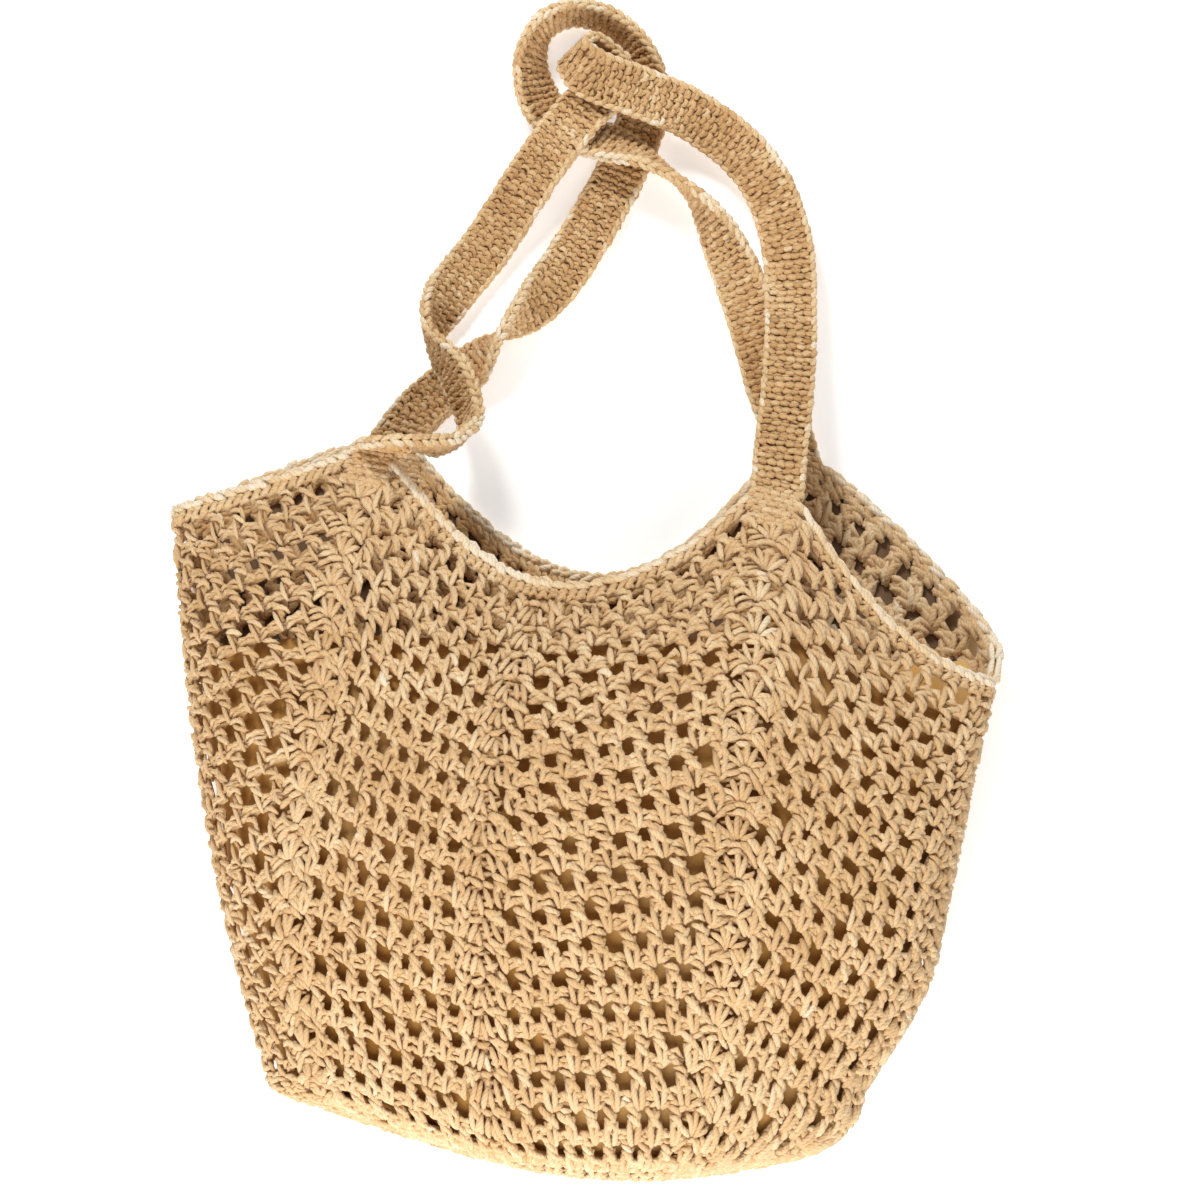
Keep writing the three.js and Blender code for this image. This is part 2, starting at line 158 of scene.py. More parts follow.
def lookUp(table, u, v):
    x = (u % panels) * grid["perPanel"]
    y = np.clip((v - grid["low"]) / grid["step"], 0, grid["rows"] - 1.001)  # just short of the last row
    i = np.floor(x).astype(int)
    j = np.floor(y).astype(int)
    fx = (x - i)[..., None]
    fy = (y - j)[..., None]
    i = i % table.shape[1]
    k = (i + 1) % table.shape[1]
    low = table[j, i] * (1 - fx) + table[j, k] * fx
    high = table[j + 1, i] * (1 - fx) + table[j + 1, k] * fx
    return low * (1 - fy) + high * fy


def onWall(u, v, out):
    normals = unit(lookUp(wallNormals, u, v))
    return lookUp(wallPoints, u, v) + normals * (out * mm)[..., None], normals


print("wall grid", wallPoints.shape)

# yarn strands are gathered as arrays and joined into one mesh a piece; mm, but for taper and the tones
strand = {"floorGap": 0.15, "startSpread": 20, "taper": 0.55, "tone": 0.5, "toneSpread": 0.12}


def newKit():
    kit = {name: [] for name in ("verts", "quads", "caps", "quadUv", "capUv", "quadTone", "capTone")}
    kit["count"] = 0
    return kit


def addStrands(kit, points, ups, radius, sides, tone):
    count, steps = points.shape[:2]
    along = unit(np.gradient(points, axis=1))
    flat = unit(np.cross(along, ups))
    high = np.cross(flat, along)
    angle = np.arange(sides) * 2 * np.pi / sides
    fade = 1 - (1 - strand["taper"]) * np.abs(np.linspace(-1, 1, steps)) ** 3
    size = radius[:, None, None, None] * mm * fade[None, :, None, None]
    around = np.cos(angle)[:, None] * flat[:, :, None] + np.sin(angle)[:, None] * high[:, :, None]
    verts = points[:, :, None] + around * size
    verts[..., 2] = np.maximum(verts[..., 2], strand["floorGap"] * mm)
    base = kit["count"] + (np.arange(count) * steps * sides)[:, None, None]
    ring = np.arange(steps - 1)[None, :, None] * sides
    side = np.arange(sides)[None, None, :]
    here = base + ring + side
    beside = base + ring + (side + 1) % sides
    quads = np.stack([here, here + sides, beside + sides, beside], axis=-1)
    first = base[:, :, 0] + np.arange(sides)[None]
    last = base[:, :, 0] + (steps - 1) * sides + np.arange(sides)[None, ::-1]
    stepLengths = np.linalg.norm(np.diff(points, axis=1), axis=2)
    length = np.concatenate([np.zeros((count, 1)), np.cumsum(stepLengths, 1)], 1) / mm
    length = length + rng.uniform(0, strand["startSpread"], (count, 1))
    near = np.broadcast_to(length[:, :-1, None], quads.shape[:3])
    far = np.broadcast_to(length[:, 1:, None], quads.shape[:3])
    low = np.broadcast_to(side / sides, quads.shape[:3])
    top = low + 1 / sides
    corners = ((near, low), (far, low), (far, top), (near, top))
    quadUv = np.stack([np.stack(corner, -1) for corner in corners], axis=-2)
    shade = np.clip(rng.normal(strand["tone"] + tone, strand["toneSpread"], count), 0, 1)
    kit["verts"].append(verts.reshape(-1, 3))
    kit["quads"].append(quads.reshape(-1, 4))
    kit["caps"].append((sides, np.concatenate([first, last])))
    kit["quadUv"].append(quadUv.reshape(-1, 2))
    kit["quadTone"].append(np.repeat(shade, (steps - 1) * sides * 4))
    kit["capUv"].append(np.zeros((2 * count * sides, 2)))
    kit["capTone"].append(np.repeat(np.concatenate([shade, shade]), sides))
    kit["count"] += count * steps * sides


def addSheet(kit, points, closedU=False, tone=0.0, closedV=False):
    rows, columns = points.shape[:2]
    i = np.arange(columns if closedU else columns - 1)
    j = np.arange(rows if closedV else rows - 1)[:, None]
    k = (i + 1) % columns
    m = (j + 1) % rows
    base = kit["count"]
    quads = base + np.stack([j * columns + i, j * columns + k, m * columns + k, m * columns + i], axis=-1)
    kit["verts"].append(points.reshape(-1, 3))
    kit["quads"].append(quads.reshape(-1, 4))
    across, along = np.broadcast_arrays(i, j)
    corners = ((0, 0), (1, 0), (1, 1), (0, 1))
    uv = np.stack([np.stack([across + a, along + b], -1) for a, b in corners], axis=-2)
    kit["quadUv"].append(uv.reshape(-1, 2).astype(float))
    kit["quadTone"].append(np.full(quads.size, strand["tone"] + tone))
    kit["count"] += rows * columns


def makePiece(name, kit, material, slot, *nodes):
    verts = np.concatenate(kit["verts"])
    quads = np.concatenate(kit["quads"])
    corners = [quads.ravel()] + [caps.ravel() for _, caps in kit["caps"]]
    sizes = [np.full(len(quads), 4)] + [np.full(len(caps), sides) for sides, caps in kit["caps"]]
    corners = np.concatenate(corners)
    sizes = np.concatenate(sizes)
    starts = np.concatenate([[0], np.cumsum(sizes)[:-1]])
    mesh = bpy.data.meshes.new(name)
    mesh.vertices.add(len(verts))
    mesh.vertices.foreach_set("co", verts.astype(np.float32).ravel())
    mesh.loops.add(len(corners))
    mesh.loops.foreach_set("vertex_index", corners.astype(np.int32))
    mesh.polygons.add(len(starts))
    mesh.polygons.foreach_set("loop_start", starts.astype(np.int32))
    mesh.update(calc_edges=True)
    mesh.shade_smooth()
    yarnUv = np.concatenate(kit["quadUv"] + kit["capUv"])
    toneUv = np.concatenate(kit["quadTone"] + kit["capTone"])
    mesh.uv_layers.new(name="yarn").data.foreach_set("uv", yarnUv.astype(np.float32).ravel())
    mesh.uv_layers.new(name="tone").data.foreach_set("uv", np.repeat(toneUv, 2).astype(np.float32))
    mesh.materials.append(material)
    piece = bpy.data.objects.new(name, mesh)
    bpy.context.scene.collection.objects.link(piece)
    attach(piece, "root")
    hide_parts(*nodes)
    print(name, "triangles", int((sizes - 2).sum()))
    return piece


def linear(hexCode):
    parts = [int(hexCode[i:i + 2], 16) / 255 for i in (1, 3, 5)]
    return tuple(x / 12.92 if x <= 0.04045 else ((x + 0.055) / 1.055) ** 2.4 for x in parts) + (1,)


def addNode(tree, kind, inputs=None, **settings):
    node = tree.nodes.new(kind)
    for name, value in settings.items():
        setattr(node, name, value)
    for name, value in (inputs or {}).items():
        if isinstance(value, bpy.types.NodeSocket):
            tree.links.new(value, node.inputs[name])
        else:
            node.inputs[name].default_value = value
    return node


def newMaterial(name):
    material = bpy.data.materials.new(name)
    material.use_nodes = True
    tree = material.node_tree
    tree.nodes.clear()
    shader = addNode(tree, "ShaderNodeBsdfPrincipled")
    addNode(tree, "ShaderNodeOutputMaterial", {"Surface": shader.outputs["BSDF"]})
    return material, tree, shader


def setRamp(ramp, stops):
    elements = ramp.color_ramp.elements
    while len(elements) < len(stops):
        elements.new(0.5)
    for element, (place, colour) in zip(elements, stops):
        element.position = place
        element.color = colour


# twisted cotton yarn: a soft dry shine off round plies, cream with warmer patches where hands have been
def cottonYarn(name, colours):
    yarn = {
        "plies": 3, "lay": 7.0, "plyDepth": 0.22, "plyBump": 0.7, "paintedGrooveShade": 0.78, "grooveTo": 0.5,
        "fuzzSize": 0.5, "fuzzDepth": 0.12, "fuzzBump": 0.6, "fuzzTone": 0.35, "patch": 45, "patchTone": 0.8,
        "toneFrom": 0.6, "toneTo": 1.6, "stops": (0.0, 0.5, 0.82, 1.0), "roughness": 0.88, "ior": 1.53,
        "specular": 0.25, "sheen": 0.2, "sheenRoughness": 0.5,
    }
    material, tree, shader = newMaterial(name)
    place = addNode(tree, "ShaderNodeTexCoord").outputs["Object"]
    yarnUv = addNode(tree, "ShaderNodeUVMap", uv_map="yarn")
    split = addNode(tree, "ShaderNodeSeparateXYZ", {0: yarnUv.outputs["UV"]})
    toneUv = addNode(tree, "ShaderNodeUVMap", uv_map="tone")
    tone = addNode(tree, "ShaderNodeSeparateXYZ", {0: toneUv.outputs["UV"]})
    lay = addNode(tree, "ShaderNodeMath", {0: split.outputs["X"], 1: yarn["plies"] / yarn["lay"]},
                  operation="MULTIPLY")
    turn = addNode(tree, "ShaderNodeMath", {0: split.outputs["Y"], 1: yarn["plies"], 2: lay.outputs[0]},
                   operation="MULTIPLY_ADD")
    wave = addNode(tree, "ShaderNodeMath", {0: turn.outputs[0], 1: math.pi}, operation="MULTIPLY")
    ply = addNode(tree, "ShaderNodeMath", {0: wave.outputs[0]}, operation="SINE")
    plyRound = addNode(tree, "ShaderNodeMath", {0: ply.outputs[0]}, operation="ABSOLUTE")
    fuzz = addNode(tree, "ShaderNodeTexNoise", {
        "Vector": place, "Scale": 1 / (yarn["fuzzSize"] * mm), "Detail": 3.0, "Roughness": 0.6})
    patch = addNode(tree, "ShaderNodeTexNoise", {
        "Vector": place, "Scale": 1 / (yarn["patch"] * mm), "Detail": 2.0})
    patched = addNode(tree, "ShaderNodeMath", {
        0: patch.outputs["Fac"], 1: yarn["patchTone"], 2: tone.outputs["X"]}, operation="MULTIPLY_ADD")
    grain = addNode(tree, "ShaderNodeMath", {
        0: fuzz.outputs["Fac"], 1: yarn["fuzzTone"], 2: patched.outputs[0]}, operation="MULTIPLY_ADD")
    spread = addNode(tree, "ShaderNodeMapRange", {
        "Value": grain.outputs[0], "From Min": yarn["toneFrom"], "From Max": yarn["toneTo"]})
    ramp = addNode(tree, "ShaderNodeValToRGB", {"Fac": spread.outputs[0]})
    setRamp(ramp, list(zip(yarn["stops"], map(linear, colours))))
    # the ply grooves darken the colour: painted shade in the grooves between the plies
    paintedGrooveShade = addNode(tree, "ShaderNodeMapRange", {
        "Value": plyRound.outputs[0], "From Max": yarn["grooveTo"], "To Min": yarn["paintedGrooveShade"], "To Max": 1.0})
    tint = addNode(tree, "ShaderNodeMix", {0: 1.0, 6: ramp.outputs["Color"], 7: paintedGrooveShade.outputs[0]},
                   data_type="RGBA", blend_type="MULTIPLY")
    plyBump = addNode(tree, "ShaderNodeBump", {
        "Height": plyRound.outputs[0], "Strength": yarn["plyBump"], "Distance": yarn["plyDepth"] * mm})
    fuzzBump = addNode(tree, "ShaderNodeBump", {
        "Height": fuzz.outputs["Fac"], "Strength": yarn["fuzzBump"],
        "Distance": yarn["fuzzDepth"] * mm, "Normal": plyBump.outputs[0]})
    tree.links.new(tint.outputs[2], shader.inputs["Base Color"])
    tree.links.new(fuzzBump.outputs[0], shader.inputs["Normal"])
    shader.inputs["Roughness"].default_value = yarn["roughness"]
    shader.inputs["IOR"].default_value = yarn["ior"]
    shader.inputs["Specular IOR Level"].default_value = yarn["specular"]
    shader.inputs["Sheen Weight"].default_value = yarn["sheen"]
    shader.inputs["Sheen Roughness"].default_value = yarn["sheenRoughness"]
    return material


# plain woven cotton: flat and matt, a darker tan that makes the net stand out
def wovenCotton():
    cloth = {
        "thread": 0.5, "coarser": 5, "bands": 3.2, "depth": 0.1, "bump": 0.5, "patch": 70,
        "colours": ("#B27C38", "#D09E58", "#E2BA7A"), "stops": (0.3, 0.5, 0.7),
        "roughness": 0.95, "specular": 0.15, "sheen": 0.1,
    }
    material, tree, shader = newMaterial("plain woven cotton")
    place = addNode(tree, "ShaderNodeTexCoord").outputs["Object"]
    # threads half a mm apart are too fine to show, so they are drawn five times as coarse
    # a wave texture has about 3.2 bands a unit
    scale = 1 / (cloth["thread"] * cloth["coarser"] * cloth["bands"] * mm)
    waves = []
    for axis in ("X", "Y"):
        wave = addNode(tree, "ShaderNodeTexWave", {
            "Vector": place, "Scale": scale, "Distortion": 0.6, "Detail": 1.0}, bands_direction=axis)
        waves.append(wave.outputs["Fac"])
    weave = addNode(tree, "ShaderNodeMath", {0: waves[0], 1: waves[1]}, operation="MULTIPLY")
    patch = addNode(tree, "ShaderNodeTexNoise", {
        "Vector": place, "Scale": 1 / (cloth["patch"] * mm), "Detail": 4.0})
    ramp = addNode(tree, "ShaderNodeValToRGB", {"Fac": patch.outputs["Fac"]})
    setRamp(ramp, list(zip(cloth["stops"], map(linear, cloth["colours"]))))
    bump = addNode(tree, "ShaderNodeBump", {
        "Height": weave.outputs[0], "Strength": cloth["bump"], "Distance": cloth["depth"] * mm})
    tree.links.new(ramp.outputs["Color"], shader.inputs["Base Color"])
    tree.links.new(bump.outputs[0], shader.inputs["Normal"])
    shader.inputs["Roughness"].default_value = cloth["roughness"]
    shader.inputs["Specular IOR Level"].default_value = cloth["specular"]
    shader.inputs["Sheen Weight"].default_value = cloth["sheen"]
    return material


# the last, near-white colour of each ramp is a painted highlight, reached by the lighter tones of the rim
# cord and the strap edges
netYarn = cottonYarn("twisted cotton yarn", ("#D2A871", "#E6C292", "#F3D7AC", "#FBEBD0"))
# the straps' copy of the yarn is darker throughout: painted shade where the straps lie away from the light
shadedStrapYarn = cottonYarn("twisted cotton yarn of the straps", ("#BC8F5A", "#DCB480", "#F0D2A4", "#FBEBD0"))
linerCloth = wovenCotton()
print("materials made")

# the open net: rows up the bag, posts and bars along them, radii and gaps in mm, half widths in panels
net = {
    "rows": 18, "lowRows": 3, "lowest": -0.88, "fanHalf": 0.095, "valleyHalf": 0.07, "topStretch": 1.12,
    # the core strands behind the relief are a little darker: painted shade in the gaps between the strands
    "radius": 1.52, "barRadius": 1.62, "coreRadius": 1.65, "spineRadius": 1.5, "coreShade": -0.15,
    "leadByFan": 0.05, "leadByValley": 0.3, "lastGap": 0.65, "hangGap": 1.2, "insideFrom": 0.45,
    "backFrom": 4, "paleMiddle": 0.42, "paleFrom": 0.18, "paleFade": 0.24, "pale": 0.1,
}
# how uneven the handwork is: shares of a cell or radius, "out" in mm, "spineAlong" and "rimAlong" in panels
uneven = {
    "bow": 0.035, "slant": 0.1, "up": 0.025, "along": 0.03, "out": 0.18, "radius": 0.07, "lean": 0.08,
    "postAlong": 0.06, "postUp": 0.04, "spineAlong": 0.006, "spineUp": 0.03, "rimAlong": 0.003,
}
# where the wall faces the floor, by the height of its normal, the relief is turned into the bag
turnIn = {"from": -0.7, "over": 0.4, "inside": -0.75, "lowest": -0.9}
rowMm = wall["length"] / net["rows"]
rowStarts = rowMm * np.arange(-net["lowRows"], net["rows"])
panelColumns = (8, 8, 9, 8, 9, 8, 8, 9)
panelLean = (-0.45, 0.41, -0.18, 0.5, -0.45, 0.4, -0.3, 0.4)  # pull of a post's top along the row, in cells
panelSwell = (0.78, 0.92, 1, 1, 1.3, 1.2, 1.2, 1.2)  # thicker strands at the right and the back
panelLightAndShade = (0, 0, 0, 0, 0.1, -0.3, -0.3, -0.3)  # lighter at the right, painted light inside the right of the mouth; darker at the back, painted shade inside the bag
plainFrom = (-1, 0.72, 0.72, 0.72, 2, 2, 2, 2)  # plainer, more open stitches from this share of the height
barHeight = (0.78, 1.2, 1.22, 1.25, 1.1, 1.1, 1.1, 1.1)  # how far a row's bars are drawn out upwards
spineHang = np.array((-55, -5, -28, -24, -75, -20, -10, 0))  # mm that the rows hang lower by the base edge
# the front left fan wanders to and fro on its way up
fanSlide = {"spine": 1, "v": (0, 0.2, 0.4, 0.6, 0.8, 1), "u": (-0.06, -0.05, 0.06, 0.115, 0.03, 0)}
# strands of one stitch: along the row and up it in cells, out of the wall in mm
openPost = {
    "leg": ((-0.24, 0.5, 0.5), (-0.16, 0.22, 1.7), (-0.08, -0.06, 1.9), (0.0, -0.26, 0.6)),
    "shortLeg": ((0.2, 0.42, 0.4), (0.2, 0.17, 1.5), (0.17, -0.08, 1.7), (0.1, -0.25, 0.6)),
    "lowDiagonal": ((-0.3, 0.6, 0.6), (-0.09, 0.5, 2.0), (0.12, 0.37, 2.0), (0.27, 0.2, 0.6)),
    "topDiagonal": ((-0.42, 0.82, 0.4), (-0.22, 0.75, 1.8), (-0.02, 0.65, 1.8), (0.14, 0.5, 0.6)),
    "crossing": ((0.2, 0.66, 0.3), (0.06, 0.52, 1.3), (-0.06, 0.36, 1.4), (-0.14, 0.2, 0.3)),
    "upright": ((-0.1, 0.85, -0.3), (0.0, 0.62, 0.6), (0.08, 0.42, 0.6), (0.12, 0.28, -0.1)),
}
plainPost = {name: openPost[name] for name in ("leg", "lowDiagonal", "topDiagonal", "upright")}
fullPost = {name: openPost[name] for name in ("shortLeg", "crossing")}
openBar = {
    "topLeft": ((0.08, 0.04, 0.3), (0.3, 0.15, 1.5), (0.56, 0.13, 0.4)),
    "topRight": ((0.42, 0.15, 0.4), (0.68, 0.15, 1.4), (0.95, 0.05, 0.2)),
    "middle": ((0.14, -0.06, 0.0), (0.5, 0.05, 0.9), (0.86, -0.06, 0.0)),
    "lowLeft": ((0.1, -0.17, 0.2), (0.32, -0.08, 1.5), (0.56, -0.05, 0.5)),
    "lowRight": ((0.44, -0.07, 0.4), (0.7, -0.07, 1.4), (0.95, -0.17, 0.2)),
}
openCore = {
    "bar": ((0.0, 0.05, -0.9), (0.5, 0.05, -0.8), (1.0, 0.04, -0.9)),
    "lowBar": ((0.0, -0.09, -0.9), (0.5, -0.08, -0.8), (1.0, -0.09, -0.9)),
    "post": ((0.0, 0.1, -0.6), (-0.1, 0.5, -0.5), (-0.25, 0.9, -0.8)),
}


def onRing(u, v):
    return v


def onRow(u, s):
    here = np.floor(u).astype(int) % panels
    hang = spineHang[here] + (spineHang[(here + 1) % panels] - spineHang[here]) * (u - np.floor(u))
    hung = s + hang * (1 - s / wall["length"])
    return np.where(hung > 0, hung / wall["length"], hung / wall["endLength"])


def slide(u, v):
    near = np.clip(1 - np.abs(u - fanSlide["spine"]), 0, 1)
    return u + near * np.interp(v, fanSlide["v"], fanSlide["u"])


def layStitches(kit, stitch, u, s, du, ds, lean, radius, sides, steps, tone=0.0, place=onRow, face=1):
    count = len(u)
    normals = unit(lookUp(wallNormals, u, np.clip(place(u, s), turnIn["lowest"], 1)))[:, 2]
    facing = np.clip((normals - turnIn["from"]) / turnIn["over"], 0, 1)
    out = face * ((1 - turnIn["inside"]) * facing + turnIn["inside"])[:, None]
    for path in stitch.values():
        line = smoothPath(path, steps)
        bow = np.sin(np.linspace(0, np.pi, steps))[None] * rng.normal(0, uneven["bow"], (count, 1))
        slant = rng.normal(0, uneven["slant"], (count, 1)) * (line[None, :, 0] - line[:, 0].mean())
        b = line[None, :, 1] + slant + bow + rng.normal(0, uneven["up"], (count, 1))
        pulled = line[None, :, 0] + lean[:, None] * line[None, :, 1]
        a = pulled + bow + rng.normal(0, uneven["along"], (count, 1))
        c = line[None, :, 2] * out + rng.normal(0, uneven["out"], (count, 1))
        uu = u[:, None] + a * du[:, None]
        vv = place(uu, s[:, None] + b * ds[:, None])
        points, ups = onWall(slide(uu, vv) if place is onRow else uu, vv, c)
        addStrands(kit, points, ups, radius * rng.normal(1, uneven["radius"], count), sides, tone)


def paintedLightAtEnds(s):  # the front's yarn is lighter towards the rim and the closed end: painted light where the light falls brighter
    off = np.abs(s / wall["length"] - net["paleMiddle"]) - net["paleFrom"]
    return net["pale"] * np.clip(off / net["paleFade"], 0, 1)


def netPanel(panel):
    kit = newKit()
    peakFirst = spineRise[panel] > 0
    behind = panel >= net["backFrom"]
    start = net["fanHalf"] if peakFirst else net["valleyHalf"]
    stop = 1 - (net["valleyHalf"] if peakFirst else net["fanHalf"])
    posts = panelColumns[panel]
    lead = net["leadByFan"] if peakFirst else net["leadByValley"]  # posts stand close beside a fan
    pitch = (stop - start) / (posts - net["lastGap"])
    column, s = np.meshgrid(np.arange(posts), rowStarts)
    column = column.ravel()
    s = s.ravel()
    u = panel + start + (column + lead) * pitch
    keep = onRow(u, s) > net["lowest"]
    count = int(keep.sum())
    u = u[keep] + rng.normal(0, uneven["postAlong"], count) * pitch
    s = s[keep] + rng.normal(0, uneven["postUp"], count) * rowMm
    du = np.full(count, pitch)
    ds = np.full(count, rowMm)
    lean = panelLean[panel] + rng.normal(0, uneven["lean"], count)
    fine = 4 if behind else 5  # sides and steps of a strand
    radius = net["radius"] * panelSwell[panel]
    barRadius = net["barRadius"] * panelSwell[panel]
    tone = np.full(count, panelLightAndShade[panel], float)
    if not behind and panel > 0:
        tone += paintedLightAtEnds(s)

    joined = column[keep] < posts - 1  # the last post of a row meets the spine
    full = s < plainFrom[panel] * wall["length"]
    last = s > wall["length"] - 1.5 * rowMm  # the row under the rim
    ds[last] *= net["topStretch"]
    cells = np.stack([u, s, du, ds, lean])
    bars = np.stack([u, s, du, ds * barHeight[panel], lean])
    layStitches(kit, plainPost, *cells, radius, fine, fine, tone)
    layStitches(kit, fullPost, *cells[:, full], radius, fine, fine, tone[full])
    layStitches(kit, openBar, *bars[:, joined], barRadius, fine, 3, tone[joined])
    hung = cells[:, last]
    hung[1] = wall["length"] - net["hangGap"]
    for face in (1, -1) if behind else ():  # one more row of bars hangs the posts on the rim
        layStitches(kit, openBar, *hung, barRadius, fine, 3, tone[last], face=face)
    layStitches(kit, openCore, *cells, net["coreRadius"], 4, 3, net["coreShade"])
    if panel == net["backFrom"]:  # seen from inside through the mouth
        seen = s > net["insideFrom"] * wall["length"]
        layStitches(kit, openPost, *cells[:, seen], radius, 4, 4, tone[seen], face=-1)
        layStitches(kit, openBar, *cells[:, seen], barRadius, 4, 3, tone[seen], face=-1)
    return makePiece("net_panel_%d" % panel, kit, netYarn, "cotton_net", "mesh_body")


for panelIndex in range(panels):
    netPanel(panelIndex)

# the eight spines: fans of stitches up each peak, stitches that lean together down each valley
fanRays = ((-0.9, 0.36), (-0.52, 0.6), (-0.05, 0.7), (0.45, 0.62), (0.88, 0.38))
fanSides = (  # from and to, straight strands beside, under and over the rays
    (0.12, -0.04, 0.75, -0.3), (0.3, 0.1, 1.0, -0.16), (0.62, 0.22, 1.18, 0.0),
    (-0.12, -0.1, -0.8, -0.26), (-0.32, 0.06, -1.08, -0.06), (-0.6, 0.2, -1.18, 0.14),
    (-0.3, -0.34, 0.3, -0.36), (-1.0, 0.62, -0.45, 0.84), (-0.4, 0.86, 0.3, 0.88), (0.3, 0.84, 0.98, 0.6),
)
valleyStitch = {
    "leftLeg": ((-0.45, 0.5, 0.4), (-0.62, 0.25, 1.6), (-0.8, 0.0, 1.8), (-0.9, -0.2, 0.6)),
    "innerLeft": ((0.0, 0.42, 0.4), (-0.12, 0.2, 1.6), (-0.3, -0.05, 1.7), (-0.4, -0.25, 0.6)),
    "rightLeg": ((0.45, 0.52, 0.4), (0.6, 0.28, 1.6), (0.78, 0.0, 1.7), (0.9, -0.2, 0.6)),
    "innerRight": ((0.1, 0.3, 0.2), (0.2, 0.1, 1.4), (0.3, -0.1, 1.6), (0.36, -0.28, 0.6)),
    "leftCap": ((-1.0, 0.4, 0.2), (-0.75, 0.6, 1.5), (-0.45, 0.72, 0.3)),
    "rightCap": ((0.4, 0.76, 0.3), (0.7, 0.66, 1.5), (1.0, 0.42, 0.2)),
    "middleCap": ((-0.5, 0.62, 0.3), (-0.05, 0.6, 1.7), (0.4, 0.68, 0.4)),
    "leftBar": ((-1.15, 0.1, 0.2), (-0.85, 0.04, 1.2), (-0.5, 0.08, 0.2)),
    "rightBar": ((0.4, 0.06, 0.2), (0.8, 0.04, 1.2), (1.15, 0.12, 0.2)),
}
spineCore = {
    "low": ((-1.1, -0.1, -0.9), (0.0, -0.1, -0.9), (1.1, -0.1, -0.9)),
    "middle": ((-1.0, 0.15, -0.9), (0.0, 0.2, -0.9), (1.0, 0.15, -0.9)),
    "high": ((-0.7, 0.5, -0.9), (0.0, 0.5, -0.9), (0.7, 0.5, -0.9)),
    "top": ((-1.0, 0.72, -0.9), (0.0, 0.78, -0.9), (1.0, 0.72, -0.9)),
    "up": ((0.0, -0.1, -0.8), (0.0, 0.4, -0.8), (0.0, 0.9, -0.8)),
}


def fanStitch():
    paths = {}
    for k, (a, b) in enumerate(fanRays):
        middle = ((a * 0.45, b * 0.4, 1.3), (a * 0.78, b * 0.8, 1.0))
        paths["ray%d" % k] = ((a * 0.2, 0.0, 0.5),) + middle + ((a, b + 0.08, -0.6),)
    for k, (a0, b0, a1, b1) in enumerate(fanSides):
        paths["side%d" % k] = ((a0, b0, 0.3), ((a0 + a1) / 2, (b0 + b1) / 2 + 0.03, 1.5), (a1, b1, 0.2))
    return paths


def spineStitches():
    kit = newKit()
    for spine in range(panels):
        peak = spineRise[spine] > 0
        u = np.full(len(rowStarts), float(spine))
        s = rowStarts[onRow(u, rowStarts) > net["lowest"]]
        count = len(s)
        u = spine + rng.normal(0, uneven["spineAlong"], count)
        s = s + rng.normal(0, uneven["spineUp"], count) * rowMm
        du = np.full(count, net["fanHalf"] if peak else net["valleyHalf"])
        ds = np.full(count, rowMm)
        lean = rng.normal(0, uneven["lean"], count)
        tone = paintedLightAtEnds(s) if 0 < spine < net["backFrom"] else 0.0
        stitch = fanStitch() if peak else valleyStitch
        layStitches(kit, stitch, u, s, du, ds, lean, net["spineRadius"], 5, 4, tone)
        layStitches(kit, spineCore, u, s, du, ds, lean, net["coreRadius"], 4, 3, net["coreShade"])
    return makePiece("net_spines", kit, netYarn, "cotton_net", "mesh_body")


spineStitches()

# the closed end is worked close, fewer stitches each round towards the seam
base = {
    "rows": (-0.76, -0.87, -0.97), "top": -0.64, "stitches": (76, 66, 56),
    # the closed end's yarn is a little lighter: painted light where the light falls brighter on the base
    "radius": 1.55, "tone": 0.1, "lean": 0.1,
}
closeStitch = {
    "longLeg": ((-0.4, 0.75, 0.4), (-0.25, 0.3, 1.8), (-0.1, -0.1, 2.0), (0.0, -0.25, 0.8)),
    "shortLeg": ((0.3, 0.7, 0.3), (0.25, 0.3, 1.6), (0.2, -0.1, 1.9), (0.05, -0.25, 0.8)),
    "diagonal": ((-0.5, 0.85, 0.3), (0.0, 0.7, 1.7), (0.45, 0.5, 0.3)),
    "core": ((-0.6, 0.3, -0.9), (0.0, 0.4, -0.8), (0.6, 0.3, -0.9)),
}


def closedEnd():
    kit = newKit()
    edges = base["rows"]
    tops = (base["top"],) + edges[:-1]
    for low, high, stitches in zip(edges, tops, base["stitches"]):
        u = np.arange(stitches) * panels / stitches + rng.normal(0, uneven["spineAlong"], stitches)
        v = np.full(stitches, low)
        du = np.full(stitches, panels / stitches)
        dv = np.full(stitches, high - low)
        lean = np.full(stitches, base["lean"])
        layStitches(kit, closeStitch, u, v, du, dv, lean, base["radius"], 5, 4, base["tone"], onRing)
    return makePiece("net_base", kit, netYarn, "cotton_net", "mesh_body")


closedEnd()

